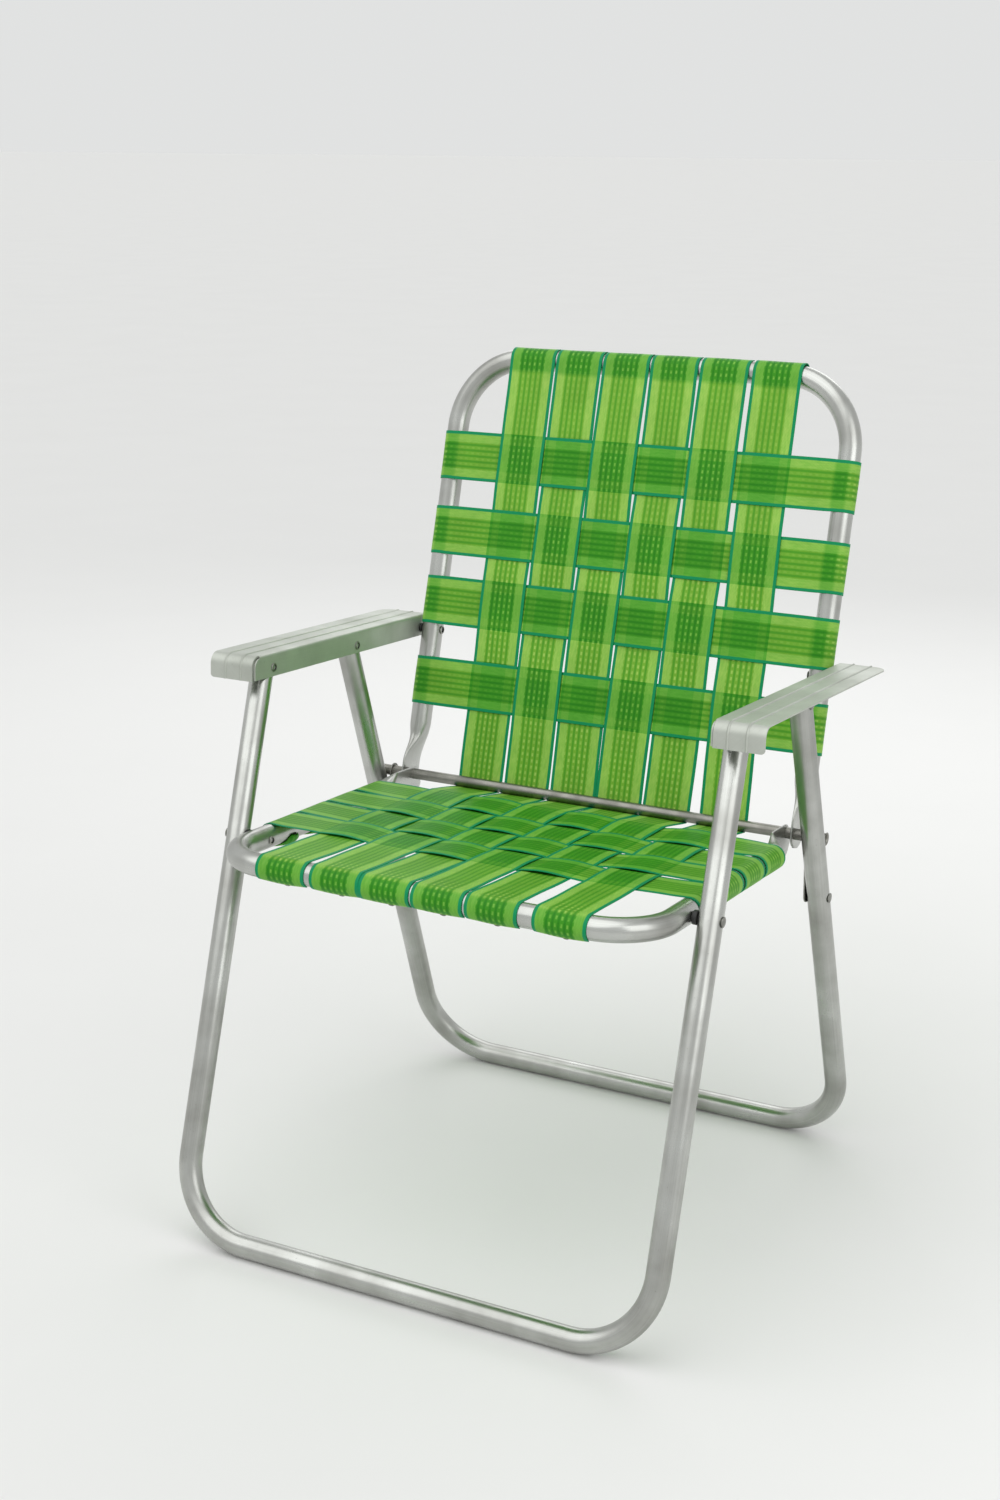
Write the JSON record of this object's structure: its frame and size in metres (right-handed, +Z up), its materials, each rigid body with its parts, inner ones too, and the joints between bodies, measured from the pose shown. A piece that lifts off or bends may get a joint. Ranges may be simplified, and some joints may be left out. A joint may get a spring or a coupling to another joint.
{
  "type": "folding webbed lawn chair",
  "caption": "Folding garden chair of bent aluminium tube with flat metal arms and a seat and back of interlaced green webbing straps.",
  "frame": {"origin": "on the floor under the middle of the chair, at the middle of the bounding box", "axes": "+Z up, the sitter faces -Y, +X to the right seen from the front"},
  "size_m": [0.644, 0.6291, 0.9189],
  "materials": {
    "tube": "bright drawn tube, worn, with fine scratches and grey weathering",
    "arm_sheet": "satin sheet with two pressed beads, dulled by weather",
    "rod": "dull grey thin tube",
    "rivet": "plain tubular rivets and link straps, slightly tarnished",
    "spacer": "black, matt",
    "webbing": "woven plastic webbing, slightly glossy, lighter bands inside teal edges"
  },
  "bodies": {
    "seat": {"seat_frame": "tube", "hinge_rod": "rod", "left_seat_rivet": "rivet", "right_seat_rivet": "rivet", "left_seat_spacer": "spacer", "right_seat_spacer": "spacer", "seat_cross_strap_1": "webbing", "seat_cross_strap_2": "webbing", "seat_cross_strap_3": "webbing", "seat_cross_strap_4": "webbing", "seat_long_strap_1": "webbing", "seat_long_strap_2": "webbing", "seat_long_strap_3": "webbing", "seat_long_strap_4": "webbing", "seat_long_strap_5": "webbing", "seat_long_strap_6": "webbing"},
    "back": {"back_frame": "tube", "left_arm_back_rivet": "rivet", "right_arm_back_rivet": "rivet", "left_arm_back_spacer": "spacer", "right_arm_back_spacer": "spacer", "back_cross_strap_1": "webbing", "back_cross_strap_2": "webbing", "back_cross_strap_3": "webbing", "back_cross_strap_4": "webbing", "back_long_strap_1": "webbing", "back_long_strap_2": "webbing", "back_long_strap_3": "webbing", "back_long_strap_4": "webbing", "back_long_strap_5": "webbing", "back_long_strap_6": "webbing"},
    "arms": {"left_arm": "arm_sheet", "right_arm": "arm_sheet", "left_arm_front_rivet_rim": "rivet", "right_arm_front_rivet_rim": "rivet"},
    "front_legs": {"front_leg_frame": "tube", "left_arm_front_rivet": "rivet", "right_arm_front_rivet": "rivet"},
    "rear_legs": {"rear_leg_frame": "tube", "left_arm_leg_rivet": "rivet", "right_arm_leg_rivet": "rivet", "left_link_rivet": "rivet", "right_link_rivet": "rivet"},
    "links": {"left_link": "rivet", "right_link": "rivet", "left_link_rivet_rim": "rivet", "right_link_rivet_rim": "rivet"}
  },
  "joints": [
    {"name": "back_fold", "type": "hinge", "parent": "seat", "child": "back", "pos_m": [0, 0.14339, 0.42], "axis": [1, 0, 0], "range_deg": [0, 100]},
    {"name": "front_leg_fold", "type": "hinge", "parent": "seat", "child": "front_legs", "pos_m": [0, -0.16726, 0.4282], "axis": [1, 0, 0], "range_deg": [0, 96.92]},
    {"name": "arm_fold", "type": "hinge", "parent": "back", "child": "arms", "pos_m": [0, 0.20968, 0.5848], "axis": [1, 0, 0], "range_deg": [-97.59, 0]},
    {"name": "rear_leg_fold", "type": "hinge", "parent": "arms", "child": "rear_legs", "pos_m": [0, 0.0629, 0.5933], "axis": [1, 0, 0], "range_deg": [0, 58.03]},
    {"name": "link_swing", "type": "hinge", "parent": "seat", "child": "links", "pos_m": [0, 0.14339, 0.42], "axis": [1, 0, 0], "range_deg": [-86.54, 0]}
  ],
  "couplings": [
    {"joint": "front_leg_fold", "follows": "back_fold", "ratio": 0.96922},
    {"joint": "arm_fold", "follows": "back_fold", "ratio": -0.97593},
    {"joint": "rear_leg_fold", "follows": "back_fold", "ratio": 0.58027},
    {"joint": "link_swing", "follows": "back_fold", "ratio": -0.86536}
  ]
}
